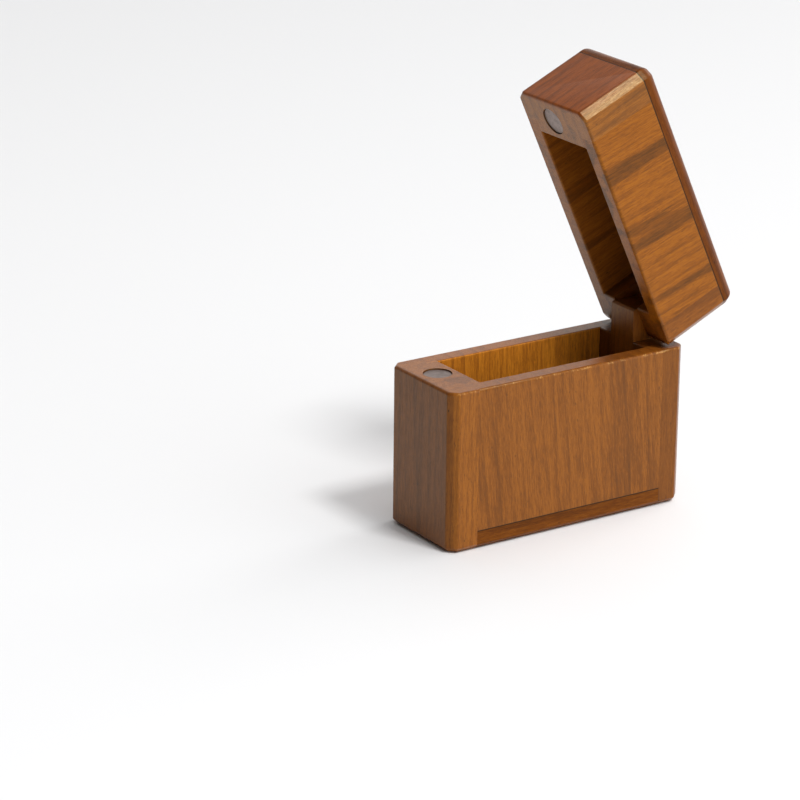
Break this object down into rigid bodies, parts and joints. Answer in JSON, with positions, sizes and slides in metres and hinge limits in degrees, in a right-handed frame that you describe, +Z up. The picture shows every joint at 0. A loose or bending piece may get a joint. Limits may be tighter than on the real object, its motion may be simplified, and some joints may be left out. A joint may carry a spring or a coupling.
{
  "type": "ring box",
  "caption": "Slim wooden ring box whose leaning lid turns on a cross pin at one end, with magnets at the other end and a slotted velvet insert.",
  "frame": {"origin": "centre of the base's underside", "axes": "+X from the magnet end to the hinge end, +Z up from the underside to the rim, -Y out of the front panel; the lid is stored open at 65.5 degrees"},
  "size_m": [0.0557, 0.018, 0.0743],
  "materials": {
    "frame_wood": "satin lacquer over straight-grained brown wood, grain upright",
    "plate_wood": "satin lacquer over darker brown wood, grain lengthwise",
    "tongue_wood": "satin lacquer",
    "magnet_metal": "dull nickel plating",
    "pin_steel": "ground steel",
    "insert_velvet": "short charcoal velvet pile on foam"
  },
  "bodies": {
    "base": {"magnet_block": "frame_wood", "hinge_block": "frame_wood", "front_panel": "frame_wood", "back_panel": "frame_wood", "bottom_plate": "plate_wood", "hinge_tongue": "tongue_wood", "base_magnet": "magnet_metal", "insert_floor_pad": "insert_velvet", "insert_front_pad": "insert_velvet", "insert_back_pad": "insert_velvet"},
    "lid": {"lid_magnet_block": "frame_wood", "lid_hinge_block": "frame_wood", "lid_front_panel": "frame_wood", "lid_back_panel": "frame_wood", "lid_top_plate": "plate_wood", "lid_magnet": "magnet_metal", "hinge_pin": "pin_steel", "pin_hole_plug": "frame_wood"}
  },
  "joints": [
    {"name": "lid_hinge", "type": "hinge", "parent": "base", "child": "lid", "pos_m": [0.02135, 0, 0.02945], "axis": [0, 1, 0], "range_deg": [-65.5, 50]}
  ]
}
